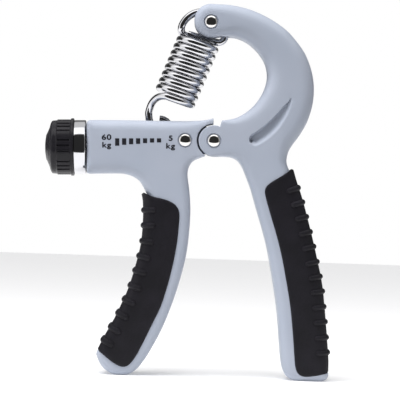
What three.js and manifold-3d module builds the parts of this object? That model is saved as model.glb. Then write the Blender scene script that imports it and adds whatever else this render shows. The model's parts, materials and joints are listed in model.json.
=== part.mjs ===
// Adjustable hand grip strengthener, in millimetres. The drawing frame has its origin on the hinge
// pin's axis, +X to the right, +Z up and Y through the thickness. At the end everything is turned
// by STAND_TILT so that both feet stand on one plane, and moved so that the box's bottom centre is
// the origin.
import * as THREE from 'three';
import { mergeVertices } from 'three/addons/utils/BufferGeometryUtils.js';
import Module from 'manifold-3d';

const wasm = await Module();
wasm.setup();

// ---- driving dimensions ----
const GAP = 0.3; // clearance between separate pieces
const STAND_TILT = -1.92 * Math.PI / 180; // about +Y
const FOOT_LEVEL = -97.25; // plane of the feet below the hinge axis, after the tilt

const FRAME_HALF = 10; // half thickness of both plastic frames
const EDGE_ROUND = 3.0;
const GRIP_HALF = 10.8;
const GRIP_CORE_HALF = 7.2; // half thickness of the frame inside a grip
const GRIP_WALL = 3.2; // rubber over the handle's outer edge
const RIB_R = 1.3;

const EAR_R = 6.3; // hinge ears of the right frame
const POCKET_R = 7.0; // hinge pocket in the left frame
const TONGUE_R = 5.8;
const TONGUE_HALF = 3.6;
const FORK_HALF = 4.5; // slot between the hinge ears

const PIN_R = 1.5;
const HEAD_R = 2.6;
const HEAD_RISE = 0.9;
const RECESS_R = 2.95;
const RECESS_DEPTH = 0.5;
const PIVOT = [0, 0];
const BEARING_PIN = [-11.8, 0.2];
const ARM_PIN = [-1.1, 48.7];
const KNUCKLE = [-1.1, 49.4]; // centre of the rounded end of the curved arm

const BARREL_Z = -2.4; // axis of barrel, screw and knob
const BARREL_END = -52.2;
const CHANNEL = [-47.6, -9.2]; // along X
const CHANNEL_HALF = 5.4;
const CHANNEL_FLOOR = -8.2;
const SCREW_R = 1.9;
const HOOK_PIN = [-22.3, 4.55];
const HOOK_PIN_R = 1.2;
const CARRIAGE_LENGTH = 10;
const LUG_GAP = 3.5;
const LUG_WALL = 2;
const LUG_FLOOR = 0; // bottom of the gap between the lugs

const COLLAR_R = 11.1;
const KNOB_R = 11.5;
const FLANGE_R = 12;

const WIRE_R = 1.5;
const COIL_R = 7.5; // mean radius
const EYE_R = 3.7; // mean radius of the hook's eye
const EYE_RISE = 0.9; // eye centre above the hook pin
const COIL_START = [-16.5, 16.9];
const COIL_END = [-6.0, 41.7];
const COIL_TURNS = 8.76;
const COIL_FIRST = 235; // degrees from the coil's right side, seen down its axis
const ARM_SLOT_HALF = 1.9;

// ---- solids ----
const solid = (geometry) => {
  const g = geometry.clone();
  g.deleteAttribute('normal');
  g.deleteAttribute('uv');
  const m = mergeVertices(g, 1e-4);
  const index = [];
  for (let i = 0; i < m.index.count; i += 3) {
    const t = [0, 1, 2].map((j) => m.index.getX(i + j));
    if (t[0] !== t[1] && t[1] !== t[2] && t[0] !== t[2]) index.push(...t);
  }
  return new wasm.Manifold(new wasm.Mesh({
    numProp: 3,
    vertProperties: new Float32Array(m.attributes.position.array),
    triVerts: new Uint32Array(index),
  }));
};

const geometryOf = (body) => {
  const mesh = body.getMesh();
  const g = new THREE.BufferGeometry();
  g.setAttribute('position', new THREE.BufferAttribute(new Float32Array(mesh.vertProperties), 3));
  g.setIndex(new THREE.BufferAttribute(new Uint32Array(mesh.triVerts), 1));
  return g;
};

const v2 = ([x, z]) => new THREE.Vector2(x, z);
const spline = (points, steps = 2) => (
  new THREE.SplineCurve(points.map(v2)).getPoints(steps * (points.length - 1)));
const arc = ([x, z], r, from, to, steps) => {
  const points = [];
  for (let i = 0; i <= steps; i += 1) {
    const a = (from + (to - from) * i / steps) * Math.PI / 180;
    points.push(new THREE.Vector2(x + r * Math.cos(a), z + r * Math.sin(a)));
  }
  return points;
};

// An XZ outline made into a plate from y = -half to +half, with rounded edges if round is given.
const plate = (outline, half, round = 0) => {
  const points = outline.filter((p, i) => p.distanceTo(outline.at(i - 1)) > 0.01);
  const g = new THREE.ExtrudeGeometry(new THREE.Shape(points), {
    depth: 2 * (half - round),
    steps: 1,
    bevelEnabled: round > 0,
    bevelSize: round,
    bevelOffset: -round,
    bevelThickness: round,
    bevelSegments: 2,
  });
  g.translate(0, 0, -(half - round));
  g.rotateX(Math.PI / 2);
  return solid(g);
};

const block = (x0, x1, y0, y1, z0, z1) => {
  const g = new THREE.BoxGeometry(x1 - x0, y1 - y0, z1 - z0);
  g.translate((x0 + x1) / 2, (y0 + y1) / 2, (z0 + z1) / 2);
  return solid(g);
};

// A cylinder through the thickness at an XZ point.
const cross = ([x, z], r, y0, y1, sides = 24) => {
  const g = new THREE.CylinderGeometry(r, r, y1 - y0, sides);
  g.translate(x, (y0 + y1) / 2, z);
  return solid(g);
};

// A body turned about the barrel's axis: profile points are [x, radius].
const turned = (profile, sides = 40) => {
  const g = new THREE.LatheGeometry(profile.map(([x, r]) => new THREE.Vector2(r, x)), sides);
  g.rotateZ(-Math.PI / 2);
  g.translate(0, 0, BARREL_Z);
  return solid(g);
};

const rod = (r, x0, x1, sides = 20) => turned([[x0, 0], [x0, r], [x1, r], [x1, 0]], sides);
const tube = (r0, r1, x0, x1, sides = 40) => (
  turned([[x0, r0], [x0, r1], [x1, r1], [x1, r0], [x0, r0]], sides));

// ---- frames ----
// Each outline runs past its hinge end and past the barrel's end, which are cut off square later.
const leftOutline = [
  ...arc([6, 2.4], 7, -90, 90, 6),
  ...spline([[3, 9.6], [-0.4, 9.1], [-5, 8.3], [-10, 8.1], [-30, 8.4], [-54, 8.5]]),
  ...arc([-58, -2.4], 10.9, 90, 270, 8),
  ...spline([[-50, -13.35], [-38, -13.4], [-33.5, -14.6], [-29.6, -18], [-29, -24],
    [-29.2, -33], [-30, -42], [-31.9, -50], [-35, -60], [-41, -73], [-46.9, -83.4],
    [-48.2, -87.6], [-45.4, -93.3], [-42.1, -95.6], [-38.4, -96.3], [-34.7, -95.6],
    [-29.3, -90.8], [-23.9, -82.1], [-17.3, -67.2], [-12.6, -52.4], [-10.3, -37.5],
    [-9.8, -25], [-10.7, -13.9], [-9.8, -9.8], [-7.4, -7.4], [-3.6, -6.1], [2, -4.8]]),
];
const leftGripArea = [
  ...spline([[-32, -21], [-34, -42], [-39, -62], [-52, -86]]),
  ...spline([[-48.5, -85.2], [-41.7, -90.6], [-37.6, -92.7], [-34.8, -91.8], [-29.1, -82.9],
    [-21.8, -68], [-18, -54.6], [-14.8, -40.3], [-14.1, -31], [-15.6, -26.6], [-19.6, -24.2],
    [-23.7, -23.2], [-28.9, -21.7]]),
];
const rightOutline = [
  ...arc([-10, 1], 7.25, 270, 90, 6),
  ...spline([[-4, 8.2], [2, 8.3], [6.7, 8.8], [12, 10.7], [16.6, 14.6], [20.5, 20.8],
    [22.1, 26.6], [20.9, 32.4], [17.4, 37.5], [12, 41.7], [7, 43.0], [3.8, 43.2]]),
  ...arc(KNUCKLE, 6.9, -66, -256, 12),
  ...spline([[0.4, 56], [5, 56], [11.6, 54.9], [18.2, 52.6], [27.3, 47.4], [35.6, 38.8],
    [39.3, 31.5], [41.1, 22], [40.5, 14.6], [38.1, 7.2], [34.6, 1.4], [30.9, -4],
    [30.3, -9], [32.7, -14.5], [36, -22.6], [39.3, -35], [42, -46.6], [44.5, -59],
    [45.7, -71], [46.7, -83.8], [47, -92.6], [45.7, -96.6], [41.6, -98.6], [37, -98.9],
    [32.2, -98], [28.7, -94.8], [27.3, -88], [26.1, -71], [23, -49.9], [17.4, -27.6],
    [13.5, -15.2], [11, -9.6], [7.5, -6.9], [0, -6.3], [-7, -6.25]]),
];
const rightGripArea = [
  ...spline([[33.4, -9], [41, -30], [47, -59], [51, -95]]),
  ...spline([[46.6, -95.1], [41.4, -96.4], [36.6, -96.6], [34.3, -95.1], [33.1, -90],
    [32.2, -78.2], [31.1, -67.1], [29.2, -55.3], [25.2, -37.2], [21, -22.4], [21.6, -18.7],
    [24.5, -16.5], [30.3, -12.9], [32.2, -11.7]]),
];

// The frame's core inside a grip: the handle thinned on both faces and on its outer edge.
const core = (outline, half, shiftX, shiftZ) => (
  plate(outline, half).intersect(plate(outline, half).translate([shiftX, 0, shiftZ])));

// A grip's outline pushed out by GAP/2, for the seat it lies in.
const grown = (points, by) => points.map((p, i) => {
  const a = points[(i + points.length - 1) % points.length];
  const b = points[(i + 1) % points.length];
  const t = b.clone().sub(a).normalize();
  const out = THREE.ShapeUtils.area(points) > 0 ? 1 : -1;
  return new THREE.Vector2(p.x + t.y * out * by, p.y - t.x * out * by);
});

const gripParts = (frameOutline, area, ribs, shift) => {
  const [sx, sz] = shift;
  const inner = core(frameOutline, GRIP_CORE_HALF, sx, sz);
  const hollow = core(frameOutline, GRIP_CORE_HALF + GAP / 2, sx * 0.95, sz * 0.95);
  let grip = plate(frameOutline, GRIP_HALF, EDGE_ROUND).intersect(plate(area, GRIP_HALF + 2));
  for (const [at, r] of ribs) grip = grip.add(cross(at, r, -GRIP_HALF + 1.6, GRIP_HALF - 1.6, 12));
  const seat = plate(grown(area, GAP / 2), GRIP_HALF + 3);
  return { grip: grip.subtract(hollow), seat: seat.subtract(inner) };
};

const along = (points, count, from, to) => {
  const curve = new THREE.SplineCurve(points.map(v2));
  return Array.from({ length: count }, (_, i) => {
    const p = curve.getPointAt(from + (to - from) * i / (count - 1));
    return [p.x, p.y];
  });
};
const leftRibs = along([[-28.6, -28.8], [-29.4, -40.5], [-31.7, -52], [-35.4, -62.7],
  [-43.3, -78.6]], 10, 0, 1).map((at) => [at, RIB_R]);
const rightRibs = along([[34.6, -19.2], [38.2, -31.2], [41.1, -43.4], [43.5, -55.8],
  [45.1, -68.4], [46.6, -87.2]], 12, 0, 1).map((at) => [at, RIB_R]);

const left = gripParts(leftOutline, leftGripArea,
  [...leftRibs, [[-28.9, -23], 0.9], [[-46.9, -84.4], 0.9]], [GRIP_WALL, 1]);
const right = gripParts(rightOutline, rightGripArea,
  [...rightRibs, [[32.6, -13], 0.9]], [-GRIP_WALL, 1]);

const recesses = (at, half) => cross(at, RECESS_R, half - RECESS_DEPTH, half + 2, 20)
  .add(cross(at, RECESS_R, -half - 2, -half + RECESS_DEPTH, 20));
const pinHole = (at) => cross(at, PIN_R + GAP / 2, -20, 20, 16);

let leftFrame = plate(leftOutline, FRAME_HALF, EDGE_ROUND).subtract(left.seat);
leftFrame = leftFrame
  .subtract(block(-0.1, 20, -20, 20, -20, 20))
  .subtract(block(BARREL_END - 30, BARREL_END, -20, 20, -20, 20))
  .subtract(cross(PIVOT, POCKET_R, -20, 20, 48))
  .add(cross(PIVOT, TONGUE_R, -TONGUE_HALF, TONGUE_HALF, 40))
  .add(block(-8, 0, -TONGUE_HALF, TONGUE_HALF, -4.9, TONGUE_R))
  .subtract(block(CHANNEL[0], CHANNEL[1], -CHANNEL_HALF, CHANNEL_HALF, CHANNEL_FLOOR, 20))
  .subtract(block(CHANNEL[1] - 1, -4.5, -CHANNEL_HALF, CHANNEL_HALF, 6.1, 20))
  .subtract(rod(SCREW_R + GAP, BARREL_END - 5, CHANNEL[0] + 1))
  .subtract(cross(PIVOT, 2.9, -20, 20, 24))
  .subtract(recesses(BEARING_PIN, FRAME_HALF))
  .subtract(pinHole(BEARING_PIN));

const wallTop = 20;
const notch = plate([[-20, wallTop], [2.3 + (wallTop - 5.5) * 0.375, wallTop], [2.3, 5.5], [0, 0],
  [0, -20], [-20, -20]].map(v2), 20).subtract(cross(PIVOT, EAR_R, -30, 30, 48));
const groove = plate([
  ...arc([16.9, 1.2], 2.3, 300, 105, 8),
  ...spline([[16.5, 3.5], [21.3, 6.4], [25.5, 10.5], [28.7, 14.1], [31.9, 17.5], [30.4, 10.7],
    [27.6, 6], [22.6, 1.2], [18.4, -0.6]], 2),
], 1.6);
let rightFrame = plate(rightOutline, FRAME_HALF, EDGE_ROUND).subtract(right.seat);
rightFrame = rightFrame
  .subtract(notch)
  .subtract(cross(PIVOT, TONGUE_R + 0.8, -FORK_HALF, FORK_HALF, 48))
  .subtract(block(-20, 0, -FORK_HALF, FORK_HALF, -8, 8))
  .subtract(block(-12, 6.6, -ARM_SLOT_HALF, ARM_SLOT_HALF, 40, 60))
  .subtract(groove.translate([0, -FRAME_HALF, 0]))
  .subtract(groove.translate([0, FRAME_HALF, 0]))
  .subtract(recesses(PIVOT, FRAME_HALF))
  .subtract(pinHole(PIVOT))
  .subtract(recesses(ARM_PIN, FRAME_HALF))
  .subtract(pinHole(ARM_PIN));

// ---- knob and adjuster, turned about the barrel's axis ----
const collar = tube(9, COLLAR_R, BARREL_END - 5.2, BARREL_END - GAP, 48);
let knob = turned([
  [-64.6, 2.2], [-64.6, 4], [-66.7, 4], [-66.7, 8.4], [-67.5, 8.4], [-67.5, 10.3], [-66, 11.1],
  [-64.4, KNOB_R], [-59, KNOB_R], [-58.7, FLANGE_R], [-58.1, FLANGE_R], [-57.7, FLANGE_R - 0.4],
  [-57.7, 2.2], [-64.6, 2.2],
], 40);
const knobGroove = (degrees) => {
  const g = new THREE.BoxGeometry(5, 0.7, 1.0);
  g.translate(-61.7, 0, KNOB_R);
  g.rotateX(degrees * Math.PI / 180);
  g.translate(0, 0, BARREL_Z);
  return solid(g);
};
for (let i = 0; i < 8; i += 1) {
  for (let j = 0; j < 3; j += 1) knob = knob.subtract(knobGroove(i * 45 + 6 + j * 8.5));
}
const knobCap = turned([
  [-69.8, 0], [-69.8, 3], [-69.6, 4.4], [-68.7, 6], [-68, 8], [-66.8, 8.1], [-66.8, 0],
], 32);
const screwHead = rod(3.4, -66.1, -64.9, 24).subtract(rod(1.3, -67, -65.5, 6));
const screw = turned([
  [-64.5, 0], [-64.5, SCREW_R], [-16.6, SCREW_R], [-16, 1.5], [-13.8, 1.5], [-13.8, 0],
], 20);
const thrustWasher = tube(SCREW_R + GAP, 7, -57.3, -55.8, 32);
const endBearing = block(-16.3, -9.5, -5.1, 5.1, CHANNEL_FLOOR + GAP, 3)
  .subtract(rod(1.8, -18, -13.5)).subtract(cross(BEARING_PIN, PIN_R + GAP / 2, -20, 20, 24));

const lugHalf = LUG_GAP / 2 + LUG_WALL;
const carriage = block(HOOK_PIN[0] - CARRIAGE_LENGTH / 2, HOOK_PIN[0] + CARRIAGE_LENGTH / 2,
  -CHANNEL_HALF + GAP, CHANNEL_HALF - GAP, CHANNEL_FLOOR + GAP, 0.2)
  .add(block(HOOK_PIN[0] - 2.6, HOOK_PIN[0] + 2.6, -lugHalf, lugHalf, 0, 5.2))
  .add(cross([HOOK_PIN[0], 4.9], 2.6, -lugHalf, lugHalf, 32))
  .subtract(block(-40, 0, -LUG_GAP / 2, LUG_GAP / 2, LUG_FLOOR, 12))
  .subtract(rod(SCREW_R + 0.25, -40, -10))
  .subtract(cross(HOOK_PIN, HOOK_PIN_R + 0.1, -20, 20, 24));
const hookPin = cross(HOOK_PIN, HOOK_PIN_R, -lugHalf - 0.4, lugHalf + 0.4, 24);

// ---- pins with domed heads ----
const dome = ([x, z], y, side) => {
  const g = new THREE.LatheGeometry([
    [0, -RECESS_DEPTH + 0.1], [HEAD_R, -RECESS_DEPTH + 0.1], [HEAD_R, 0.1], [2.0, HEAD_RISE * 0.66],
    [1.1, HEAD_RISE * 0.93], [0, HEAD_RISE],
  ].map(v2), 16);
  if (side < 0) g.rotateX(Math.PI);
  g.translate(x, y * side, z);
  return solid(g);
};
const pinEnd = FRAME_HALF - RECESS_DEPTH + 0.1;
const pin = (at) => dome(at, FRAME_HALF, -1).add(cross(at, PIN_R, -pinEnd - 0.05, pinEnd - 0.1, 16));
const pinCap = (at) => dome(at, FRAME_HALF, 1);

const sleeve = cross(PIVOT, 2.6, -TONGUE_HALF, TONGUE_HALF, 24)
  .subtract(cross(PIVOT, PIN_R + GAP / 2, -20, 20, 24));
const hingeWasher = (side) => {
  const y = [TONGUE_HALF + 0.2, FORK_HALF - 0.2].map((v) => v * side).sort((a, b) => a - b);
  return cross(PIVOT, 4.6, y[0], y[1], 32).subtract(cross(PIVOT, PIN_R + GAP / 2, -20, 20, 24));
};

// ---- spring ----
const WIRE_SIDES = 7;
const wireSection = new THREE.Shape(
  arc([0, 0], WIRE_R, 0, 360 * (WIRE_SIDES - 1) / WIRE_SIDES, WIRE_SIDES - 1));
const wire = (curve, steps) => new THREE.ExtrudeGeometry(wireSection, {
  steps, bevelEnabled: false, extrudePath: curve,
});
const coilAxis = new THREE.Vector3(COIL_END[0] - COIL_START[0], 0, COIL_END[1] - COIL_START[1]);
const coilLength = coilAxis.length();
coilAxis.normalize();
const coilRight = new THREE.Vector3(coilAxis.z, 0, -coilAxis.x);
class Coil extends THREE.Curve {
  constructor(from, to) { super(); this.from = from; this.to = to; }

  getPoint(t, target = new THREE.Vector3()) {
    const turns = this.from + (this.to - this.from) * t;
    const a = COIL_FIRST * Math.PI / 180 + turns * 2 * Math.PI;
    return target.set(COIL_START[0], 0, COIL_START[1])
      .addScaledVector(coilAxis, coilLength * turns / COIL_TURNS)
      .addScaledVector(coilRight, COIL_R * Math.cos(a))
      .add(new THREE.Vector3(0, COIL_R * Math.sin(a), 0));
  }
}
const endTrim = GAP / (2 * Math.PI * COIL_R); // leaves a gap at each end, in turns
const coil = wire(new Coil(endTrim, COIL_TURNS - endTrim), 132);
const through = (points) => new THREE.CatmullRomCurve3(
  points.map(([x, y, z]) => new THREE.Vector3(x, y, z)), false, 'centripetal');
const at = (turns) => new Coil(turns, turns + 1e-6).getPoint(0).toArray();
const ring = (degrees) => {
  const a = degrees * Math.PI / 180;
  return [HOOK_PIN[0] + EYE_R * Math.cos(a), 0, HOOK_PIN[1] + EYE_RISE + EYE_R * Math.sin(a)];
};
const lowerHook = wire(through([
  at(0), at(-0.03), [-23.6, -3.6, 17.6], [-26.2, -0.9, 14.2], [-27.0, 0, 10.6],
  ring(170), ring(205), ring(240), ring(275), ring(310), ring(345), ring(20), ring(50), ring(72),
  ring(92),
]), 40);
const upperLoop = wire(through([
  at(COIL_TURNS), at(COIL_TURNS + 0.03), [-13.3, 1.3, 45.3], [-13.3, 0.2, 47.4], [-12.0, 0, 49.8],
  [-9.0, 0, 52.4], [-4.7, 0, 53.5], [-0.4, 0, 52.7], [2.6, 0, 49.9], [4.1, 0, 46.2],
  [4.5, 0, 43], [3.2, 0, 41.0], [0.9, 0, 40.9], [-4.8, 0, 42.5], [-10.6, 0, 44.2],
]), 48);

// ---- assembly ----
const inner = new THREE.Group();
const finish = (color, roughness, metalness) => ({ color, roughness, metalness });
const PLASTIC = finish(0xa6acb8, 0.38, 0);
const RUBBER = finish(0x232226, 0.75, 0);
const GLOSS = finish(0x1c1b20, 0.25, 0);
const STEEL = finish(0xc4c2be, 0.25, 1);
const CHROME = finish(0xdddde0, 0.08, 1);
const NYLON = finish(0xd8d6cf, 0.5, 0);

const floorBox = new THREE.BoxGeometry(400, 100, 200);
floorBox.translate(0, 0, FOOT_LEVEL - 100);
floorBox.rotateY(-STAND_TILT);
const floorCut = solid(floorBox);
const add = (name, body, look) => {
  const g = body instanceof THREE.BufferGeometry ? body : geometryOf(body);
  const mesh = new THREE.Mesh(g, new THREE.MeshStandardMaterial(look));
  mesh.name = name;
  inner.add(mesh);
};

add('left_frame', leftFrame.subtract(floorCut), PLASTIC);
add('right_frame', rightFrame.subtract(floorCut), PLASTIC);
add('left_grip', left.grip, RUBBER);
add('right_grip', right.grip, RUBBER);
add('chrome_collar', collar, CHROME);
add('knob', knob, GLOSS);
add('knob_cap', knobCap, GLOSS);
add('knob_screw', screwHead, STEEL);
add('adjusting_screw', screw, STEEL);
add('thrust_washer', thrustWasher, NYLON);
add('screw_end_bearing', endBearing, NYLON);
add('bearing_pin', pin(BEARING_PIN), STEEL);
add('bearing_pin_cap', pinCap(BEARING_PIN), STEEL);
add('carriage_nut', carriage, STEEL);
add('hook_pin', hookPin, STEEL);
add('pivot_pin', pin(PIVOT), STEEL);
add('pivot_pin_cap', pinCap(PIVOT), STEEL);
add('pivot_sleeve', sleeve, NYLON);
add('pivot_washer_front', hingeWasher(-1), NYLON);
add('pivot_washer_back', hingeWasher(1), NYLON);
add('arm_pin', pin(ARM_PIN), STEEL);
add('arm_pin_cap', pinCap(ARM_PIN), STEEL);
add('spring_lower_hook', lowerHook, CHROME);
add('spring_coil', coil, CHROME);
add('spring_upper_loop', upperLoop, CHROME);

inner.rotation.y = STAND_TILT;
inner.updateMatrixWorld(true);
const box = new THREE.Box3().setFromObject(inner, true);
inner.position.set(-(box.min.x + box.max.x) / 2, -(box.min.y + box.max.y) / 2, -box.min.z);
const group = new THREE.Group();
group.name = 'hand_grip_strengthener';
group.add(inner);
export default group;
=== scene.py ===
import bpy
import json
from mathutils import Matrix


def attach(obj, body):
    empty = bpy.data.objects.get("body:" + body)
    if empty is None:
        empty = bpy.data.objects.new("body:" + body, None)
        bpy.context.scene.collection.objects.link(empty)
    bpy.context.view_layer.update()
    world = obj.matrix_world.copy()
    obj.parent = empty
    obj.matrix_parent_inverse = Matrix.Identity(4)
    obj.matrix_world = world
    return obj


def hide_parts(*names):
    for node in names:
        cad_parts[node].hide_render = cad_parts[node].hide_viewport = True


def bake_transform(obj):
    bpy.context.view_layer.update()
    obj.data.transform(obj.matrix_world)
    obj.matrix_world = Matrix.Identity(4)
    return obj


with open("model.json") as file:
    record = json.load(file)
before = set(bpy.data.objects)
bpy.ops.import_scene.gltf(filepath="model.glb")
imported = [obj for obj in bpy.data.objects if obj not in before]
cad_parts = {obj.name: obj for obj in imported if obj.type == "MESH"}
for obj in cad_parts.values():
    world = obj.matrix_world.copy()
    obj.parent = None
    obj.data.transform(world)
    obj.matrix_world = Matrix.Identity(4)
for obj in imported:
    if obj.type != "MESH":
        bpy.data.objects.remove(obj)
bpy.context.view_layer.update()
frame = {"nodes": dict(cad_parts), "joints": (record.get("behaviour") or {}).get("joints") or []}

import json
import math

import bmesh
import bpy
import numpy as np
from mathutils import Matrix, Vector, geometry

# ---------------------------------------------------------------- frames
# Shapes are drawn in millimetres in the drawing frame: origin on the hinge pin's axis, x right,
# z up, y through the thickness. to_row() turns that into the model's own frame, in metres.
JOINTS = {j["name"]: j for j in frame["joints"]}
PIVOT_AT = Vector(JOINTS["handle_squeeze"]["pos_m"])
BARREL_DIR = Vector(JOINTS["knob_turn"]["axis"])
TILT = math.atan2(BARREL_DIR.z, BARREL_DIR.x)
TO_ROW = (
    Matrix.Translation(PIVOT_AT) @ Matrix.Rotation(-TILT, 4, "Y") @ Matrix.Scale(0.001, 4)
)
TO_ROW_NP = np.array(TO_ROW)


def to_row(points):
    p = np.asarray(points, float)
    return p @ TO_ROW_NP[:3, :3].T + TO_ROW_NP[:3, 3]


def mesh_object(name, points, faces, smooth=True):
    """points in drawing millimetres."""
    mesh = bpy.data.meshes.new(name)
    mesh.from_pydata([tuple(p) for p in to_row(points)], [], [tuple(f) for f in faces])
    mesh.validate()
    obj = bpy.data.objects.new(name, mesh)
    bpy.context.scene.collection.objects.link(obj)
    tidy(obj, smooth)
    return obj


SHARP_DEGREES = 38  # edges that turn more than this stay sharp
WELD = 1e-7


def tidy(obj, smooth=True):
    bm = bmesh.new()
    bm.from_mesh(obj.data)
    bmesh.ops.remove_doubles(bm, verts=bm.verts, dist=WELD)
    bmesh.ops.recalc_face_normals(bm, faces=bm.faces)
    limit = math.radians(SHARP_DEGREES)
    for e in bm.edges:
        e.smooth = not (len(e.link_faces) == 2 and e.calc_face_angle(0) > limit)
    for f in bm.faces:
        f.smooth = smooth
    bm.to_mesh(obj.data)
    bm.free()


def cut(obj, *tools):
    """Subtracts closed tools from obj for good."""
    for tool in tools:
        m = obj.modifiers.new("cut", "BOOLEAN")
        m.operation, m.solver, m.object = "DIFFERENCE", "EXACT", tool
    bpy.context.view_layer.update()
    result = bpy.data.meshes.new_from_object(
        obj.evaluated_get(bpy.context.evaluated_depsgraph_get())
    )
    old = obj.data
    obj.modifiers.clear()
    obj.data = result
    result.name = old.name
    bpy.data.meshes.remove(old)
    for tool in tools:
        mesh = tool.data
        bpy.data.objects.remove(tool)
        bpy.data.meshes.remove(mesh)
    tidy(obj)
    return obj


def join(obj, *others):
    with bpy.context.temp_override(
        active_object=obj, selected_editable_objects=[obj, *others], selected_objects=[obj, *others]
    ):
        bpy.ops.object.join()
    return obj


# ---------------------------------------------------------------- curves
def smooth_curve(points, step):
    """Centripetal Catmull-Rom through points of three columns, resampled about every step."""
    p = [np.asarray(q, float) for q in points]
    p = [2 * p[0] - p[1], *p, 2 * p[-1] - p[-2]]
    out = []
    for a, b, c, d in zip(p, p[1:], p[2:], p[3:]):
        ta = 0.0
        tb = ta + max(np.linalg.norm((b - a)[:2]), 1e-6) ** 0.5
        tc = tb + max(np.linalg.norm((c - b)[:2]), 1e-6) ** 0.5
        td = tc + max(np.linalg.norm((d - c)[:2]), 1e-6) ** 0.5
        n = max(2, int(np.linalg.norm(c - b) / step * 2))
        for t in np.linspace(tb, tc, n, endpoint=False):
            a1 = (tb - t) / (tb - ta) * a + (t - ta) / (tb - ta) * b
            a2 = (tc - t) / (tc - tb) * b + (t - tb) / (tc - tb) * c
            a3 = (td - t) / (td - tc) * c + (t - tc) / (td - tc) * d
            b1 = (tc - t) / (tc - ta) * a1 + (t - ta) / (tc - ta) * a2
            b2 = (td - t) / (td - tb) * a2 + (t - tb) / (td - tb) * a3
            out.append((tc - t) / (tc - tb) * b1 + (t - tb) / (tc - tb) * b2)
    out.append(p[-2])
    return resample(np.array(out), step)


def resample(points, step):
    """Only the first two columns count as length: x and z of an outline, x and y of the wire."""
    seg = np.linalg.norm(np.diff(points[:, :2], axis=0), axis=1)
    s = np.concatenate([[0], np.cumsum(seg)])
    n = max(2, int(round(s[-1] / step)) + 1)
    t = np.linspace(0, s[-1], n)
    return np.stack([np.interp(t, s, points[:, i]) for i in range(points.shape[1])], 1)


def arc_points(centre, r, start, end, rounding, step=0.8):
    n = max(3, int(abs(math.radians(end - start)) * r / step) + 1)
    a = np.radians(np.linspace(start, end, n))
    return np.stack(
        [centre[0] + r * np.cos(a), centre[1] + r * np.sin(a), np.full(n, rounding)], 1
    )


SAME_POINT = 0.12  # outline points closer than this are one


def outline(*parts, step=0.8):
    """Joins curves of (x, z, rounding) into one closed outline, dropping repeated points."""
    pts = []
    for part in parts:
        part = part if isinstance(part, np.ndarray) else smooth_curve(part, step)
        for q in part:
            if not pts or np.linalg.norm(q[:2] - pts[-1][:2]) > SAME_POINT:
                pts.append(q)
    while np.linalg.norm(pts[0][:2] - pts[-1][:2]) < SAME_POINT:
        pts.pop()
    return np.array(pts)


# ---------------------------------------------------------------- rounded plates
def edge_distance(points, loop):
    """Distance from each point to each side of the loop, and how far along the side that is."""
    a, b = loop[:, :2], np.roll(loop[:, :2], -1, axis=0)
    d = b - a
    length = (d**2).sum(1)
    rel = points[:, None, :] - a[None]
    t = np.clip((rel * d[None]).sum(2) / length[None], 0, 1)
    return np.linalg.norm(rel - t[..., None] * d[None], axis=2), t


def inside(points, loop):
    x, z = points[:, 0], points[:, 1]
    a, b = loop[:, :2], np.roll(loop[:, :2], -1, axis=0)
    hit = np.zeros(len(points), bool)
    for (x0, z0), (x1, z1) in zip(a, b):
        crosses = (z0 > z) != (z1 > z)
        at = (x1 - x0) * (z - z0) / (z1 - z0 + 1e-12) + x0
        hit ^= crosses & (x < at)
    return hit


CHUNK = 1500  # points measured at a time, to spare memory


def plate_height(points, loop, half):
    """Half thickness at each point of a plate whose edges are rounded."""
    out = np.empty(len(points))
    for i in range(0, len(points), CHUNK):
        d, t = edge_distance(points[i : i + CHUNK], loop)
        r = loop[:, 2][None] * (1 - t) + np.roll(loop[:, 2], -1)[None] * t
        inner = np.clip(r - d, 0, None)
        rounded = np.sqrt(np.clip(r * r - inner * inner, 0, None))
        out[i : i + CHUNK] = (half - r + rounded).min(1)
    return out


RING = [1 - math.cos(math.radians(a)) for a in (20, 38, 56, 73, 90)]


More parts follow.
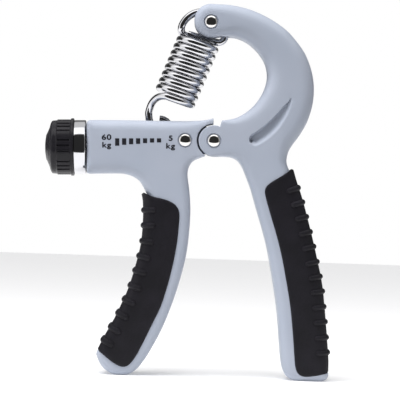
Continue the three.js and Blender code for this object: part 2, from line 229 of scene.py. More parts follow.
def rounded_plate(name, loop, half, relief=None, extra=(), grid=2.4):
    """A closed plate with the XZ outline loop, from -half to +half in y, its edges rounded by each
    outline point's own radius. relief(points) is how deep both faces are sunk at each point."""
    area = 0.5 * np.sum(
        loop[:, 0] * np.roll(loop[:, 1], -1) - np.roll(loop[:, 0], -1) * loop[:, 1]
    )
    if area < 0:
        loop = loop[::-1].copy()
    p = loop[:, :2]
    tangent = np.roll(p, -1, axis=0) - np.roll(p, 1, axis=0)
    tangent /= np.linalg.norm(tangent, axis=1)[:, None]
    inward = np.stack([-tangent[:, 1], tangent[:, 0]], 1)
    pts = []
    for share in RING:
        depth = share * loop[:, 2]
        q = p + inward * depth[:, None]
        near = edge_distance(q, loop)[0].min(1)
        pts.append(q[(near > 0.97 * depth) & inside(q, loop)])
    lo, hi = p.min(0), p.max(0)
    gx, gz = np.meshgrid(np.arange(lo[0], hi[0], grid), np.arange(lo[1], hi[1], grid * 0.87))
    gx[1::2] += grid / 2
    g = np.stack([gx.ravel(), gz.ravel()], 1)
    g = g[inside(g, loop)]
    d, t = edge_distance(g, loop)
    nearest = d.argmin(1)
    g = g[d.min(1) > loop[nearest, 2] + 0.5 * grid]
    for more in extra:
        keep = edge_distance(more, loop)[0].min(1) > 0.3
        keep &= inside(more, loop)
        more = more[keep]
        if len(more):
            far = np.array([np.min(np.linalg.norm(more - q, axis=1)) for q in g]) if len(g) else []
            g = g[far > 0.6] if len(g) else g
            pts.append(more)
    pts.append(g)
    everything = np.concatenate([p, *pts])
    n = len(p)
    edges = [(i, (i + 1) % n) for i in range(n)]
    co, _, tris, orig, _, _ = geometry.delaunay_2d_cdt(
        [Vector(q) for q in everything], edges, [], 1, 1e-5
    )
    co = np.array([tuple(v) for v in co])
    tri = np.array([t for t in tris if len(t) == 3])
    centre = co[tri].mean(1)
    tri = tri[inside(centre, loop)]
    index = {o: i for i, os in enumerate(orig) for o in os}
    rim = [index[i] for i in range(n)]
    h = plate_height(co, loop, half)
    h[rim] = plate_height(p, loop, half)
    sink = relief(co) if relief else np.zeros(len(co))
    front = np.stack([co[:, 0], -(h - sink), co[:, 1]], 1)
    back = np.stack([co[:, 0], h - sink, co[:, 1]], 1)
    m = len(co)
    faces = [tuple(t) for t in tri] + [tuple(reversed([i + m for i in t])) for t in tri]
    for a, b in zip(rim, rim[1:] + rim[:1]):
        faces.append((a, b, b + m, a + m))
    return mesh_object(name, np.concatenate([front, back]), faces)


def box_tool(x0, x1, y0, y1, z0, z1):
    pts = [(x, y, z) for x in (x0, x1) for y in (y0, y1) for z in (z0, z1)]
    faces = [(0, 1, 3, 2), (4, 6, 7, 5), (0, 4, 5, 1), (2, 3, 7, 6), (0, 2, 6, 4), (1, 5, 7, 3)]
    return mesh_object("tool", pts, faces, smooth=False)


def lathe(name, profile, axis, centre, sides, radius=None):
    """Turns (along, r) points round the x or y axis through centre; radius() may vary r.
    Points on the axis close the ends; otherwise the profile closes on itself."""
    profile = np.array(profile, float)
    closed_ends = profile[0, 1] < 1e-6 and profile[-1, 1] < 1e-6
    angles = np.linspace(0, 2 * math.pi, sides, endpoint=False)
    pts, rows = [], []
    for along, r in profile:
        if r < 1e-6:
            rows.append([len(pts)])
            pts.append((along, 0, 0))
            continue
        rr = np.array([radius(along, a, r) if radius else r for a in angles])
        rows.append(list(range(len(pts), len(pts) + sides)))
        pts.extend(zip([along] * sides, rr * np.cos(angles), rr * np.sin(angles)))
    faces = []
    pairs = list(zip(rows, rows[1:]))
    if not closed_ends:
        pairs.append((rows[-1], rows[0]))
    for a, b in pairs:
        for i in range(sides):
            j = (i + 1) % sides
            if len(a) == 1:
                faces.append((a[0], b[i], b[j]))
            elif len(b) == 1:
                faces.append((a[i], b[0], a[j]))
            else:
                faces.append((a[i], b[i], b[j], a[j]))
    pts = np.array(pts, float)
    if axis == "y":
        pts = pts[:, [1, 0, 2]]
    return mesh_object(name, pts + np.array(centre), faces)


def tube_mesh(path, radius, sides=16, domed=False):
    """Points and faces of a tube along a path, its frames carried along without twist."""
    path = np.asarray(path, float)
    n = len(path)
    tangent = np.gradient(path, axis=0)
    tangent /= np.linalg.norm(tangent, axis=1)[:, None]
    up = np.array([0, 1, 0.0]) if abs(tangent[0][1]) < 0.9 else np.array([0, 0, 1.0])
    u = np.cross(tangent[0], up)
    u /= np.linalg.norm(u)
    rows, pts, scale = [], [], np.full(n, radius, float)
    if domed:
        steps = np.radians([15, 35, 60])
        first = [path[0] - tangent[0] * radius * math.cos(a) for a in steps]
        last = [path[-1] + tangent[-1] * radius * math.cos(a) for a in steps[::-1]]
        path = np.concatenate([first, path, last])
        tangent = np.concatenate([[tangent[0]] * 3, tangent, [tangent[-1]] * 3])
        scale = np.concatenate([radius * np.sin(steps), scale, radius * np.sin(steps[::-1])])
    angles = np.linspace(0, 2 * math.pi, sides, endpoint=False)
    for p, t, r in zip(path, tangent, scale):
        u = u - t * (u @ t)
        u /= np.linalg.norm(u)
        v = np.cross(t, u)
        rows.append(range(len(pts), len(pts) + sides))
        pts.extend(p + r * (np.cos(a) * u + np.sin(a) * v) for a in angles)
    faces = []
    for a, b in zip(rows, rows[1:]):
        for i in range(sides):
            j = (i + 1) % sides
            faces.append((a[i], a[j], b[j], b[i]))
    faces.append(tuple(reversed(rows[0])))
    faces.append(tuple(rows[-1]))
    return np.array(pts), faces


# ---------------------------------------------------------------- materials
def material(name, build):
    m = bpy.data.materials.new(name)
    m.use_nodes = True
    tree = m.node_tree
    build(tree.nodes, tree.links, tree.nodes["Principled BSDF"])
    return m


MIX_DETAIL, MIX_CONTRAST, BUMP_DETAIL = 3.0, (0.35, 0.65), 2.0


def noise_mix(nodes, links, scale, low, high, socket):
    """Drives a colour or value socket between two ends by object-space noise."""
    where = nodes.new("ShaderNodeTexCoord")
    noise = nodes.new("ShaderNodeTexNoise")
    noise.inputs["Scale"].default_value = scale
    noise.inputs["Detail"].default_value = MIX_DETAIL
    ramp = nodes.new("ShaderNodeValToRGB")
    ends = ramp.color_ramp.elements
    ends[0].position, ends[1].position = MIX_CONTRAST
    if isinstance(low, (int, float)):
        low, high = (low,) * 3, (high,) * 3
    ends[0].color = (*low, 1)
    ends[1].color = (*high, 1)
    links.new(where.outputs["Object"], noise.inputs["Vector"])
    links.new(noise.outputs["Fac"], ramp.inputs["Fac"])
    links.new(ramp.outputs["Color"], socket)


def bumps(nodes, links, bsdf, scale, strength, distance):
    where = nodes.new("ShaderNodeTexCoord")
    noise = nodes.new("ShaderNodeTexNoise")
    noise.inputs["Scale"].default_value = scale
    noise.inputs["Detail"].default_value = BUMP_DETAIL
    bump = nodes.new("ShaderNodeBump")
    bump.inputs["Strength"].default_value = strength
    bump.inputs["Distance"].default_value = distance
    links.new(where.outputs["Object"], noise.inputs["Vector"])
    links.new(noise.outputs["Fac"], bump.inputs["Height"])
    links.new(bump.outputs["Normal"], bsdf.inputs["Normal"])


def frame_plastic(nodes, links, bsdf):
    noise_mix(nodes, links, 55, (0.372, 0.410, 0.490), (0.392, 0.426, 0.504),
              bsdf.inputs["Base Color"])
    noise_mix(nodes, links, 900, 0.36, 0.46, bsdf.inputs["Roughness"])
    bumps(nodes, links, bsdf, 2600, 0.12, 0.00004)
    bsdf.inputs["Specular IOR Level"].default_value = 0.45


def grip_rubber(nodes, links, bsdf):
    noise_mix(nodes, links, 120, (0.0080, 0.0074, 0.0100), (0.0115, 0.0105, 0.0145),
              bsdf.inputs["Base Color"])
    noise_mix(nodes, links, 1500, 0.50, 0.64, bsdf.inputs["Roughness"])
    bumps(nodes, links, bsdf, 3200, 0.25, 0.00006)
    bsdf.inputs["Specular IOR Level"].default_value = 0.22


def knob_plastic(nodes, links, bsdf):
    noise_mix(nodes, links, 200, (0.0120, 0.0115, 0.0140), (0.0160, 0.0150, 0.0185),
              bsdf.inputs["Base Color"])
    noise_mix(nodes, links, 700, 0.19, 0.27, bsdf.inputs["Roughness"])
    bumps(nodes, links, bsdf, 900, 0.04, 0.00004)
    bsdf.inputs["Specular IOR Level"].default_value = 0.22


def chrome_plate(nodes, links, bsdf):
    bsdf.inputs["Metallic"].default_value = 1
    noise_mix(nodes, links, 90, (0.62, 0.62, 0.64), (0.70, 0.70, 0.72),
              bsdf.inputs["Base Color"])
    noise_mix(nodes, links, 500, 0.05, 0.10, bsdf.inputs["Roughness"])


def rivet_steel(nodes, links, bsdf):
    bsdf.inputs["Metallic"].default_value = 1
    noise_mix(nodes, links, 300, (0.74, 0.72, 0.70), (0.82, 0.80, 0.78),
              bsdf.inputs["Base Color"])
    noise_mix(nodes, links, 1200, 0.04, 0.08, bsdf.inputs["Roughness"])
    bumps(nodes, links, bsdf, 1800, 0.03, 0.00002)


def zinc_steel(nodes, links, bsdf):
    bsdf.inputs["Metallic"].default_value = 1
    noise_mix(nodes, links, 200, (0.50, 0.50, 0.52), (0.62, 0.61, 0.62),
              bsdf.inputs["Base Color"])
    noise_mix(nodes, links, 900, 0.25, 0.42, bsdf.inputs["Roughness"])
    bumps(nodes, links, bsdf, 1500, 0.15, 0.00004)


def nylon(nodes, links, bsdf):
    noise_mix(nodes, links, 150, (0.60, 0.58, 0.53), (0.68, 0.66, 0.61),
              bsdf.inputs["Base Color"])
    noise_mix(nodes, links, 800, 0.42, 0.55, bsdf.inputs["Roughness"])
    bumps(nodes, links, bsdf, 1800, 0.12, 0.00005)


def print_ink(nodes, links, bsdf):
    noise_mix(nodes, links, 900, (0.006, 0.006, 0.010), (0.012, 0.012, 0.018),
              bsdf.inputs["Base Color"])
    noise_mix(nodes, links, 1500, 0.5, 0.65, bsdf.inputs["Roughness"])


PLASTIC = material("frame_plastic", frame_plastic)
RUBBER = material("grip_rubber", grip_rubber)
GLOSS = material("knob_plastic", knob_plastic)
CHROME = material("chrome_plate", chrome_plate)
STEEL = material("rivet_steel", rivet_steel)
ZINC = material("zinc_steel", zinc_steel)
NYLON = material("nylon", nylon)
INK = material("print_ink", print_ink)


def dress(obj, mat, slot, body=None, *nodes):
    obj.data.materials.clear()
    obj.data.materials.append(mat)
    if body:
        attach(obj, body)
    if nodes:
        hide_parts(*nodes)
    return obj


# ---------------------------------------------------------------- camera, light and floor
MM_PER_PIXEL = 155 / 375
CAMERA_DISTANCE = 1000
VIEW_CENTRE = (-5.7, 0, -24.3)

camera = bpy.data.cameras.new("camera")
camera.sensor_width = 36
camera.lens = 36 * CAMERA_DISTANCE / (400 * MM_PER_PIXEL)
camera.clip_start, camera.clip_end = 0.05, 20
camera_object = bpy.data.objects.new("camera", camera)
bpy.context.scene.collection.objects.link(camera_object)
camera_object.matrix_world = (
    Matrix.Translation(Vector(to_row([(VIEW_CENTRE[0], -CAMERA_DISTANCE, VIEW_CENTRE[2])])[0]))
    @ Matrix.Rotation(-TILT, 4, "Y")
    @ Matrix.Rotation(math.radians(90), 4, "X")
)
bpy.context.scene.camera = camera_object
bpy.context.scene.view_settings.view_transform = "Standard"
bpy.context.scene.view_settings.look = "None"


def build_world():
    """The camera sees white. Metal mirrors a dark room: a softbox overhead, lit panels beside."""
    world = bpy.data.worlds.new("studio")
    world.use_nodes = True
    bpy.context.scene.world = world
    nodes, links = world.node_tree.nodes, world.node_tree.links
    nodes.clear()

    def maths(operation, a, b=None, clamp=False):
        n = nodes.new("ShaderNodeMath")
        n.operation, n.use_clamp = operation, clamp
        for i, v in enumerate((a, b)):
            if v is None:
                continue
            if isinstance(v, (int, float)):
                n.inputs[i].default_value = v
            else:
                links.new(v, n.inputs[i])
        return n.outputs[0]

    def step(value, start, end):
        """0 before start, 1 after end."""
        n = nodes.new("ShaderNodeMapRange")
        n.interpolation_type = "SMOOTHSTEP"
        links.new(value, n.inputs["Value"])
        n.inputs["From Min"].default_value, n.inputs["From Max"].default_value = start, end
        return n.outputs["Result"]

    where = nodes.new("ShaderNodeTexCoord")
    split = nodes.new("ShaderNodeSeparateXYZ")
    links.new(where.outputs["Generated"], split.inputs[0])
    x, y, z = (split.outputs[c] for c in "XYZ")

    def total(*terms):
        out = terms[0]
        for t in terms[1:]:
            out = maths("ADD", out, t)
        return out

    def product(*terms):
        out = terms[0]
        for t in terms[1:]:
            out = maths("MULTIPLY", out, t)
        return out

    dark = step(maths("MULTIPLY", y, -1.0), 0.46, 0.62)
    softbox = maths("MAXIMUM", step(y, 0.2, -0.1), ROOM["rear_ceiling"])
    above = product(step(z, 0.55, 0.8), step(dark, 1.0, 0.0))
    below = step(above, 1.0, 0.0)
    beside = product(step(y, 0.15, -0.1), step(dark, 1.0, 0.0), below)
    backdrop = product(step(y, 0.60, 0.85), below)
    light = total(
        ROOM["room"], product(above, softbox, ROOM["ceiling"]), product(backdrop, ROOM["backdrop"]),
        product(beside, step(x, -0.5, -0.8), ROOM["left"]),
        product(beside, step(x, 0.5, 0.8), ROOM["right"]))
    path = nodes.new("ShaderNodeLightPath")
    mix = nodes.new("ShaderNodeMix")
    mix.data_type = "FLOAT"
    links.new(path.outputs["Is Camera Ray"], mix.inputs[0])
    links.new(light, mix.inputs[2])
    mix.inputs[3].default_value = 1.0
    background = nodes.new("ShaderNodeBackground")
    background.inputs["Color"].default_value = (1, 1, 1, 1)
    links.new(mix.outputs[0], background.inputs["Strength"])
    out = nodes.new("ShaderNodeOutputWorld")
    links.new(background.outputs[0], out.inputs["Surface"])


ROOM = {"room": 0.03, "ceiling": 1.8, "rear_ceiling": 0.4, "backdrop": 0.12, "left": 1.1,
        "right": 0.32}
build_world()


def area_light(name, location, target, size, power, colour=(1, 1, 1)):
    data = bpy.data.lights.new(name, "AREA")
    data.shape, data.size, data.size_y = "RECTANGLE", size[0], size[1]
    data.energy, data.color = power, colour
    obj = bpy.data.objects.new(name, data)
    bpy.context.scene.collection.objects.link(obj)
    obj.location = location
    obj.rotation_euler = (Vector(target) - Vector(location)).to_track_quat("-Z", "Y").to_euler()
    return obj


key = area_light("key", (-0.16, -0.24, 0.85), (0, 0, 0.08), (0.7, 0.36), 7.8, (1.0, 0.995, 0.99))
fill = area_light("fill", (-0.8, -1.05, 0.2), (0, 0, 0.08), (0.8, 0.8), 4.2, (0.97, 0.985, 1.0))
key.visible_glossy = fill.visible_glossy = False

FLOOR_FRONT = -0.2  # polished metal sees the dark room beyond this edge
floor_mesh = bpy.data.meshes.new("floor")
floor_mesh.from_pydata(
    [(-0.9, FLOOR_FRONT, 0), (0.9, FLOOR_FRONT, 0), (0.9, 2, 0), (-0.9, 2, 0)], [], [(0, 1, 2, 3)])
floor = bpy.data.objects.new("floor", floor_mesh)
bpy.context.scene.collection.objects.link(floor)


def floor_paint(nodes, links, bsdf):
    bsdf.inputs["Base Color"].default_value = (0.72, 0.72, 0.73, 1)
    bsdf.inputs["Roughness"].default_value = 0.9
    bsdf.inputs["Emission Color"].default_value = (1, 1, 1, 1)
    bsdf.inputs["Emission Strength"].default_value = 0.3


floor_mesh.materials.append(material("floor", floor_paint))

# ---------------------------------------------------------------- the two plastic frames
HALF = 10.0
PINS = {"pivot": (0.0, 0.0), "bearing": (-11.8, 0.2), "arm": (-1.1, 48.7)}
HEAD_R, DOME_R = 2.4, 4.2  # a rivet head's edge, and the sphere its face is part of
RECESS_R, RECESS_DEPTH, RECESS_EDGE = 2.95, 0.5, 0.12

left_loop = outline(
    [(-0.15, 7.0, 0.4), (-0.15, 9.1, 0.4)],
    [(-0.3, 9.12, 0.6), (-2.5, 8.62, 1.2), (-5, 8.28, 2.2), (-10, 8.1, 3.6), (-20, 8.2, 4.2),
     (-35, 8.45, 4.2), (-49.5, 8.55, 3.8), (-51.2, 8.45, 2.8), (-51.9, 8.0, 2.2)],
    [(-52.2, 7.2, 2.0), (-52.2, -2, 2.0), (-52.2, -12.7, 2.0)],
    [(-52.0, -13.2, 2.2), (-51.5, -13.4, 2.8), (-49.5, -13.4, 3.8), (-38, -13.4, 3.8),
     (-35.4, -13.9, 3.8), (-33, -14.8, 3.8), (-30.6, -16.5, 3.8), (-29, -18.9, 3.8),
     (-27.9, -21.2, 3.6)],
    [(-26.8, -22.6, 3.4), (-27.2, -33, 3.4), (-28, -42, 3.4), (-29.9, -50, 3.4), (-33, -60, 3.4),
     (-39, -73, 3.4), (-45.2, -84, 3.4)],
    [(-47.4, -85.2, 3.0), (-48.3, -87.2, 3.2), (-47.3, -90.4, 3.2), (-45.2, -93.4, 3.2),
     (-42, -95.6, 3.2), (-38.4, -96.3, 3.2), (-34.7, -95.6, 3.2), (-31.8, -93.7, 3.2),
     (-29.3, -90.8, 3.2), (-26.8, -87.1, 3.2), (-21.4, -77.2, 3.2), (-17.3, -67.2, 3.2),
     (-14, -57.3, 3.2), (-11.5, -47.4, 3.2), (-10.2, -37.5, 3.2), (-9.7, -27.6, 3.2),
     (-10.2, -20, 3.2), (-10.9, -14, 3.0), (-10.7, -11.9, 2.8), (-9.9, -9.8, 2.4),
     (-8.2, -7.95, 1.8), (-5.8, -6.9, 1.0), (-3.75, -6.15, 0.5)],
    arc_points((0, 0), 7.0, 239, 91.3, 0.4),
)
right_loop = outline(
    arc_points((0, 0), 6.3, 67, 268, 0.5),
    [(0.4, -6.32, 0.9), (4.6, -6.4, 1.8), (7.5, -6.85, 2.6), (9.5, -7.9, 3.2), (11, -9.6, 3.4),
     (12.2, -11.9, 3.4), (13.5, -15.2, 3.4), (15.3, -20.1, 3.4), (17.4, -27.6, 3.4),
     (21.5, -42.4, 3.4), (24.2, -57.3, 3.4), (26.1, -71, 3.4), (27.1, -84.6, 3.4),
     (27.6, -90.4, 3.4), (28.3, -94.1, 3.4), (29.6, -96.5, 3.4), (31.8, -98, 3.2),
     (35, -98.7, 3.2), (40, -98.9, 3.2), (44.4, -98.7, 3.2), (46.4, -97.6, 3.0),
     (47.0, -95.7, 2.6), (46.2, -94.0, 2.6)],
    [(45.0, -92, 3.4), (44.6, -83.8, 3.4), (43.7, -71, 3.4), (42.5, -59, 3.4), (40, -46.6, 3.4),
     (37.3, -35, 3.4), (34, -22.6, 3.4), (31.4, -14.4, 3.4)],
    [(31.0, -12.3, 3.6), (30.2, -10.4, 3.8), (29.8, -8.4, 4.0), (30.1, -6.2, 4.2),
     (30.9, -3.9, 4.6), (32.5, -1.4, 5), (34.7, 1.5, 5), (36.5, 4.3, 5), (38.1, 7.2, 5),
     (39.5, 10.9, 5), (40.5, 14.6, 5), (41.1, 19.5, 5), (41.05, 23.5, 5), (40.4, 27.8, 5),
     (39.3, 31.5, 5), (37.7, 35.4, 5), (35.6, 38.8, 5), (33.1, 42, 5), (30.6, 44.8, 5),
     (27.3, 47.5, 5), (24, 49.7, 5), (21.5, 51.1, 5), (18.2, 52.7, 5), (14.9, 54, 5),
     (11.6, 54.95, 5), (8.3, 55.6, 4.6), (5, 56, 4.2), (1.9, 56.1, 3.8), (-0.9, 56.28, 3.6)],
    arc_points((-1.1, 49.4), 6.9, 92, 292, 3.4),
    [(2.4, 43.1, 3.4), (4.6, 43.05, 3.6), (6.7, 43.0, 4.2), (9.2, 42.65, 4.8), (12, 41.6, 5.2),
     (14.9, 39.8, 5.4), (17.4, 37.5, 5.4), (19.5, 34.9, 5.4), (21, 32.2, 5.4), (21.8, 29.4, 5.4),
     (22.05, 26.6, 5.4), (21.6, 23.7, 5.4), (20.6, 20.8, 5.2), (19.1, 18, 5.0),
     (16.6, 14.6, 4.6), (13.7, 12.0, 4.2), (11.9, 10.8, 3.8), (9.7, 9.6, 3.2), (6.7, 8.75, 2.6),
     (4.6, 8.4, 1.6), (3.45, 8.3, 0.8)],
    [(3.3, 8.2, 0.5), (2.5, 5.9, 0.5)],
)

GROOVE = smooth_curve(
    [(17.0, 0.35, 2.7), (20.6, 2.6, 2.75), (24.6, 6.2, 2.55), (28.1, 10.6, 1.95),
     (30.6, 14.7, 1.05), (31.9, 17.6, 0.12)], 0.4)


GROOVE_DEPTH, GROOVE_WIDEST, WALL_SHARE = 2.3, 2.75, 0.28


def groove_depth(points):
    """The tapered recess where arm and handle meet: a steep upper wall and a sloping lower side."""
    a = GROOVE[:, :2]
    d = np.linalg.norm(points[:, None] - a[None], axis=2)
    i = d.argmin(1)
    direction = np.gradient(a, axis=0)
    direction /= np.linalg.norm(direction, axis=1)[:, None]
    rel = points - a[i]
    side = rel[:, 0] * direction[i, 1] - rel[:, 1] * direction[i, 0]  # + to the lower right
    u = np.sign(side) * d[np.arange(len(points)), i] / GROOVE[i, 2]
    deep = GROOVE_DEPTH * (GROOVE[i, 2] / GROOVE_WIDEST) ** 0.7
    wall = np.clip((u + 1.0) / WALL_SHARE, 0, 1)
    slope = np.clip((1.0 - u) / 1.05, 0, 1)
    wall, slope = (v * v * (3 - 2 * v) for v in (wall, slope))
    return np.where(np.abs(u) < 1, deep * np.minimum(wall, slope), 0)


def recess_depth(points, names):
    out = np.zeros(len(points))
    for n in names:
        d = np.linalg.norm(points - np.array(PINS[n]), axis=1)
        share = np.clip((RECESS_R + RECESS_EDGE - d) / RECESS_EDGE, 0, 1)
        out = np.maximum(out, RECESS_DEPTH * share)
    return out


def pin_rings(names):
    out = []
    for n in names:
        for r in (1.5, 2.5, RECESS_R, RECESS_R + RECESS_EDGE, 3.6):
            a = np.linspace(0, 2 * math.pi, 48, endpoint=False)
            out.append(np.array(PINS[n]) + r * np.stack([np.cos(a), np.sin(a)], 1))
    return np.concatenate(out)


gx, gz = np.meshgrid(np.arange(12.5, 34.5, 0.36), np.arange(-3.5, 19.5, 0.36))
groove_grid = np.stack([gx.ravel(), gz.ravel()], 1)
near = np.linalg.norm(groove_grid[:, None] - GROOVE[None, :, :2], axis=2)
groove_grid = groove_grid[(near - GROOVE[None, :, 2] * 1.12).min(1) < 0.25]

left_frame = rounded_plate(
    "left_frame_shell", left_loop, HALF, lambda p: recess_depth(p, ["bearing"]),
    [pin_rings(["bearing"])])
right_frame = rounded_plate(
    "right_frame_shell", right_loop, HALF,
    lambda p: np.maximum(groove_depth(p), recess_depth(p, ["pivot", "arm"])),
    [pin_rings(["pivot", "arm"]), groove_grid])

channel = box_tool(-47.6, -9.2, -5.4, 5.4, -8.2, 20)
relief = box_tool(-10.2, -4.5, -5.4, 5.4, 6.1, 20)
cut(left_frame, channel)
cut(left_frame, relief)
fork = lathe("tool", [(-4.5, 0), (-4.5, 6.6), (4.5, 6.6), (4.5, 0)], "y", (0, 0, 0), 48)
mouth = box_tool(-20, 0, -4.5, 4.5, -8, 8)
arm_slot = box_tool(-12, 6.6, -1.9, 1.9, 40, 60)
cut(right_frame, fork)
cut(right_frame, mouth)
cut(right_frame, arm_slot)

# the hinge tongue, between the right frame's ears
tongue = rounded_plate(
    "tongue",
    outline(arc_points((0, 0), 5.8, -90, 90, 0.4, 0.6), [(-8.5, 5.8, 0.4), (-8.5, -4.9, 0.4)],
            [(-0.6, -5.75, 0.4), (-0.3, -5.8, 0.4)]),
    3.6)
join(left_frame, tongue)
dress(left_frame, PLASTIC, "frame_plastic", "left_body", "left_frame")
dress(right_frame, PLASTIC, "frame_plastic", "right_body", "right_frame")


# feet: nothing may reach below the surface they stand on
for obj in (left_frame, right_frame):
    co = np.empty(len(obj.data.vertices) * 3)
    obj.data.vertices.foreach_get("co", co)
    co = co.reshape(-1, 3)
    co[:, 2] = np.maximum(co[:, 2], 0)
    obj.data.vertices.foreach_set("co", co.ravel())
    obj.data.update()

# ---------------------------------------------------------------- rubber grips
GRIP_HALF, GRIP_ROUND = 10.8, 4.2
RIB_PROUD = 0.85
left_outer = [(-29.7, -21.9), (-29.3, -24), (-29.1, -28), (-29.2, -33), (-30, -42), (-31.9, -50),
              (-35, -60), (-37.6, -66), (-41, -73), (-45, -80), (-47.7, -85.2)]
right_outer = [(32.7, -11.9), (33.9, -16.2), (36, -22.6), (39.3, -35), (42, -46.6), (44.5, -59),
               (45.7, -71), (46.7, -83.8), (47.1, -90.4), (47.0, -94.6)]
left_grip_loop = outline(
    [(*p, GRIP_ROUND) for p in left_outer],
    [(-47.2, -85.9, 0.9), (-44.6, -88.3, 0.9), (-41.7, -90.6, 0.9), (-39.6, -91.9, 0.9),
     (-37.6, -92.6, 0.9), (-35.9, -92.4, 0.9), (-34.4, -91.4, 0.9), (-32.2, -88.6, 0.9),
     (-29.1, -82.9, 0.9), (-25, -74.6, 0.9), (-21.8, -68, 0.9), (-19.6, -61.5, 0.9),
     (-17.7, -54.6, 0.9), (-16.1, -47.6, 0.9), (-14.9, -40.3, 0.9), (-14.2, -33, 0.9),
     (-14.1, -29.9, 0.9), (-14.6, -27.9, 0.9), (-16.1, -26.0, 0.9), (-18.6, -24.6, 0.9),
     (-21, -23.8, 0.9), (-24.5, -23.0, 0.9), (-27.5, -21.9, 0.9), (-28.9, -21.3, 0.9)],
)
right_grip_loop = outline(
    [(*p, GRIP_ROUND) for p in right_outer],
    [(46.3, -95.3, 0.9), (44, -95.9, 0.9), (41.4, -96.4, 0.9), (38.4, -96.7, 0.9),
     (36.6, -96.6, 0.9), (35.1, -96.0, 0.9), (34.0, -94.8, 0.9), (33.3, -92.6, 0.9),
     (32.9, -88.6, 0.9), (32.2, -78.2, 0.9), (31.1, -67.1, 0.9), (29.2, -55.3, 0.9),
     (27.2, -45, 0.9), (25.2, -37.4, 0.9), (22.8, -29.2, 0.9), (21.1, -23, 0.9),
     (20.8, -20.9, 0.9), (21.4, -18.9, 0.9), (23.4, -17.1, 0.9), (26.5, -15.2, 0.9),
     (30, -13, 0.9), (31.9, -11.6, 0.9)],
)
left_grip = rounded_plate("left_grip_rubber", left_grip_loop, GRIP_HALF)
right_grip = rounded_plate("right_grip_rubber", right_grip_loop, GRIP_HALF)


def ribs(grip, base, count, first, last, radius, side):
    """Rounded ridges laid across the outer edge, from one face round to the other."""
    line = smooth_curve([(*p, 0.0) for p in base], 0.2)[:, :2]
    s = np.concatenate([[0], np.cumsum(np.linalg.norm(np.diff(line, axis=0), axis=1))])
    made = []
    for k in range(count):
        want = first + (last - first) * k / (count - 1)
        i = int(np.argmin(np.abs(s - want)))
        t = line[min(i + 2, len(line) - 1)] - line[max(i - 2, 0)]
        t /= np.linalg.norm(t)
        inward = np.array([t[1], -t[0]]) * side
        r = radius(k / (count - 1))
        sunk = r - RIB_PROUD
        corner = []
        for a in np.linspace(0, 90, 9):
            a = math.radians(a)
            d = GRIP_ROUND - (GRIP_ROUND - sunk) * math.cos(a)
            y = GRIP_HALF - GRIP_ROUND + (GRIP_ROUND - sunk) * math.sin(a)
            corner.append((d, y))
        path = [(d, -y) for d, y in reversed(corner)]
        path += [(path[-1][0], y) for y in np.linspace(path[-1][1], corner[0][1], 8)[1:-1]]
        path += corner
        pts = [(*(line[i] + inward * d), y) for d, y in path]
        pts = np.array([(x, y, z) for x, z, y in pts])
        made.append(tube_mesh(pts, r, 14, domed=True))
    parts = [mesh_object("rib", p, f) for p, f in made]
    return join(grip, *parts)


ribs(left_grip, left_outer, 10, 6.6, 62.9, lambda t: 1.32, -1)
ribs(right_grip, right_outer, 12, 7.5, 76.5, lambda t: 1.3 - 0.2 * t, 1)
dress(left_grip, RUBBER, "grip_rubber", "left_body", "left_grip")
dress(right_grip, RUBBER, "grip_rubber", "right_body", "right_grip")

# ---------------------------------------------------------------- knob, collar and adjuster
BARREL_Z = -2.4
ON_AXIS = (0, 0, BARREL_Z)
collar = lathe("collar_ring", [
    (-57.45, 9), (-57.45, 10.9), (-57.35, 11.05), (-57.15, 11.1), (-53.15, 11.1), (-52.95, 11.05),
    (-52.8, 10.9), (-52.8, 9)], "x", ON_AXIS, 128)
dress(collar, CHROME, "chrome_plate", "left_body", "chrome_collar")


RIBBED_FROM, RIBBED_TO, RIBBED_FADE = -64.4, -59.0, 0.35
RIB_DEGREES, RIB_PHASE, RIB_CUT, RIB_HALF = 11.25, 1.9, 0.5, 0.42


def knob_radius(along, angle, r):
    """Axial grooves in groups of three round the ribbed zone."""
    if not RIBBED_FROM < along < RIBBED_TO:
        return r
    fade = min(1, (along - RIBBED_FROM) / RIBBED_FADE, (RIBBED_TO - along) / RIBBED_FADE)
    degrees = math.degrees(math.atan2(math.sin(angle), -math.cos(angle)))
    k = round((degrees - RIB_PHASE) / RIB_DEGREES)
    if k % 4 == 2:
        return r
    off = abs(degrees - RIB_PHASE - RIB_DEGREES * k) * math.pi / 180 * r
    return r - RIB_CUT * fade * max(0.0, 1 - (off / RIB_HALF) ** 4)


ribbed = [(x, 11.4) for x in (-64.4, -64.05, -63.6, -61.7, -59.8, -59.35)]
knob = lathe("knob_shell", [
    (-64.6, 2.2), (-64.6, 4), (-66.7, 4), (-66.7, 8.35), (-67.45, 8.45), (-67.6, 8.75),
    (-67.45, 9.35), (-67.15, 10.15), (-66.8, 10.7), (-66.4, 10.92), (-65.6, 11.0),
    (-64.75, 11.05), (-64.55, 11.2), *ribbed, (-59.0, 11.4), (-58.9, 11.5), (-58.85, 11.75),
    (-58.7, 11.9), (-57.9, 11.9), (-57.7, 11.7), (-57.6, 11.3), (-57.6, 2.2)],
    "x", ON_AXIS, 512, knob_radius)
dress(knob, GLOSS, "knob_plastic", "knob_body", "knob")
cap = lathe("knob_end_cap", [
    (-66.8, 0), (-66.8, 8.0), (-67.5, 8.2), (-67.8, 8.0), (-68.1, 7.3), (-68.6, 6.2),
    (-69.05, 5.3), (-69.2, 4.95), (-69.25, 4.5), (-69.2, 4.3), (-69.35, 4.0), (-69.55, 2.6),
    (-69.65, 0)], "x", ON_AXIS, 96)
dress(cap, GLOSS, "knob_plastic", "knob_body", "knob_cap")

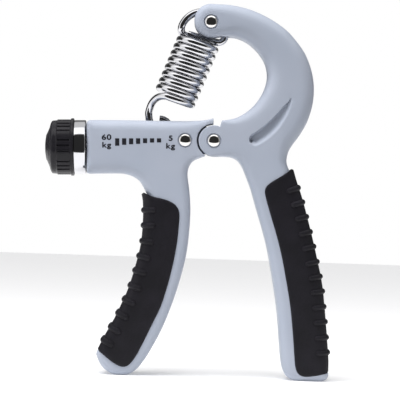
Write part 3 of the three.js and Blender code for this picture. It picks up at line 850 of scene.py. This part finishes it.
THREAD_PITCH = 1.5
thread_x = np.arange(-57, -16.6, THREAD_PITCH / 8)
thread = lathe("adjusting_thread", [
    (-64.5, 0), (-64.5, 1.55), *[(x, 1.72) for x in thread_x], (-16.5, 1.5), (-13.8, 1.45),
    (-13.8, 0)], "x", ON_AXIS, 32,
    lambda along, angle, r: r if r < 1.6 else
    r + 0.17 * math.cos(angle - 2 * math.pi * along / THREAD_PITCH))
dress(thread, ZINC, "steel", "knob_body", "adjusting_screw")

# ---------------------------------------------------------------- rivets
def rivet_head(name, centre, side):
    edge = math.asin(HEAD_R / DOME_R)
    dome = [(DOME_R * (math.cos(a) - math.cos(edge)), DOME_R * math.sin(a))
            for a in np.linspace(edge, 0, 10)]
    profile = [(-0.6, 0), (-0.6, HEAD_R), *dome[:-1], (dome[-1][0], 0)]
    return lathe(name, [(a * side, b) for a, b in profile], "y",
                 (centre[0], side * HALF, centre[1]), 48)


for node, where, body in (("pivot_pin", "pivot", "right_body"), ("arm_pin", "arm", "right_body"),
                          ("bearing_pin", "bearing", "left_body")):
    head = rivet_head(node + "_head", PINS[where], -1)
    shank = lathe("shank", [(-9.6, 0), (-9.6, 1.5), (9.5, 1.5), (9.5, 0)], "y",
                  (PINS[where][0], 0, PINS[where][1]), 32)
    join(head, shank)
    dress(head, STEEL, "steel", body, node)
    dress(rivet_head(node + "_back", PINS[where], 1), STEEL, "steel", body, node + "_cap")

# ---------------------------------------------------------------- spring
WIRE_R, COIL_R = 1.5, 7.5
EYE_R, EYE_RISE = 3.7, 0.9
START, END = np.array([-16.5, 0, 16.9]), np.array([-6.0, 0, 41.7])
TURNS, FIRST = 8.76, math.radians(235)
HOOK = np.array([-22.3, 4.55])
axis_dir = (END - START) / np.linalg.norm(END - START)
coil_right = np.array([axis_dir[2], 0, -axis_dir[0]])


def coil_point(turn):
    a = FIRST + turn * 2 * math.pi
    return (START + (END - START) * turn / TURNS + COIL_R * math.cos(a) * coil_right
            + COIL_R * math.sin(a) * np.array([0, 1, 0]))


def ring_point(degrees):
    a = math.radians(degrees)
    return np.array([HOOK[0] + EYE_R * math.cos(a), 0, HOOK[1] + EYE_RISE + EYE_R * math.sin(a)])


hook_path = [ring_point(a) for a in (92, 72, 50, 20, -15, -50, -85, -120, -155, -190)]
hook_path += [(-27.0, 0, 10.6), (-26.2, -0.9, 14.2), (-23.6, -3.6, 17.6)]
loop_path = [(-13.3, 1.3, 45.3), (-13.3, 0.2, 47.4), (-12.0, 0, 49.8), (-9.0, 0, 52.4),
             (-4.7, 0, 53.5), (-0.4, 0, 52.7), (2.6, 0, 49.9), (4.1, 0, 46.2), (4.5, 0, 43),
             (3.2, 0, 41.0), (0.9, 0, 40.9), (-4.8, 0, 42.5), (-10.6, 0, 44.2)]
path = [*hook_path, *[coil_point(t) for t in np.arange(0.02, TURNS, 1 / 24)], *loop_path]
path = smooth_curve(path + [path[-1] + (np.array(path[-1]) - np.array(path[-2])) * 0.02], 0.42)
middle = coil_point(TURNS / 2 + 0.01)
split = int(np.linalg.norm(path - middle, axis=1).argmin())
lower, upper = path[: split + 1], path[split:]


def spring_piece(name, points_on, nodes):
    """A length of the wire between two bodies, from one turn of the coil to another."""
    piece = mesh_object(name, *tube_mesh(points_on, WIRE_R, 18))
    dress(piece, CHROME, "chrome_plate")
    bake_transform(piece)
    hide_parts(*nodes)
    return piece


spring_piece("spring_wire_lower", lower,
             ["spring_lower_hook", "spring_coil"])
spring_piece("spring_wire_upper", upper,
             ["spring_upper_loop"])

# ---------------------------------------------------------------- printed scale
INK_PROUD = 0.03
BAR_START, BAR_PITCH, BAR_WIDE, BAR_TOP = -40.45, 2.85, 1.75, 0.95
BAR_TALL = (3.05, 2.7, 2.45, 2.3, 2.0, 1.75, 1.7)
bars = []
for k, tall in enumerate(BAR_TALL):
    x = BAR_START + BAR_PITCH * k
    bars.append(box_tool(x, x + BAR_WIDE, -HALF - INK_PROUD, -HALF + 0.2, BAR_TOP - tall, BAR_TOP))
join(bars[0], *bars[1:])
bars[0].name = "scale_bars"
dress(bars[0], INK, "knob_plastic", "left_body")

CAPITAL = 0.72  # height of a numeral in a font of size 1
STROKE_SHIFTS = ((-0.1, 0), (0.1, 0), (0, -0.08), (0, 0.08))  # shifted copies thicken the strokes


def lettering(name, text, centre_x, bottom, height, wide, spacing=1.0):
    curve = bpy.data.curves.new(name, "FONT")
    curve.body = text
    curve.size = 1.0
    curve.offset = 0.010
    curve.extrude = 0.02
    curve.space_character = spacing
    curve.align_x = "CENTER"
    temp = bpy.data.objects.new(name + "_text", curve)
    bpy.context.scene.collection.objects.link(temp)
    bpy.context.view_layer.update()
    depsgraph = bpy.context.evaluated_depsgraph_get()
    mesh = bpy.data.meshes.new_from_object(temp.evaluated_get(depsgraph))
    bpy.data.objects.remove(temp)
    scale = height / CAPITAL
    flat = np.empty(len(mesh.vertices) * 3)
    mesh.vertices.foreach_get("co", flat)
    flat = flat.reshape(-1, 3)
    copies = []
    for k, (right, up) in enumerate(STROKE_SHIFTS):
        pts = np.stack([centre_x + flat[:, 0] * scale * wide + right,
                        np.where(flat[:, 2] > 0, -HALF - INK_PROUD - 0.002 * k, -HALF + 0.17),
                        bottom + flat[:, 1] * scale + up], 1)
        faces = [tuple(p.vertices) for p in mesh.polygons]
        copies.append(mesh_object(name, pts, faces, smooth=False))
    bpy.data.meshes.remove(mesh)
    return dress(join(*copies), INK, "knob_plastic", "left_body")


lettering("scale_60", "60", -43.97, 0.38, 2.22, 1.25, 1.08)
lettering("scale_kg_left", "kg", -43.97, -2.75, 2.2, 1.2, 1.2)
lettering("scale_5", "5", -17.68, 0.0, 2.1, 1.25)
lettering("scale_kg_right", "kg", -17.83, -3.2, 2.2, 1.2, 1.2)

# ---------------------------------------------------------------- CAD nodes that stay
for node, mat in {
    "knob_screw": ZINC, "thrust_washer": NYLON, "screw_end_bearing": NYLON, "carriage_nut": ZINC,
    "hook_pin": STEEL, "pivot_sleeve": NYLON, "pivot_washer_front": NYLON,
    "pivot_washer_back": NYLON,
}.items():
    obj = frame["nodes"][node]
    for s in obj.material_slots:
        s.material = mat
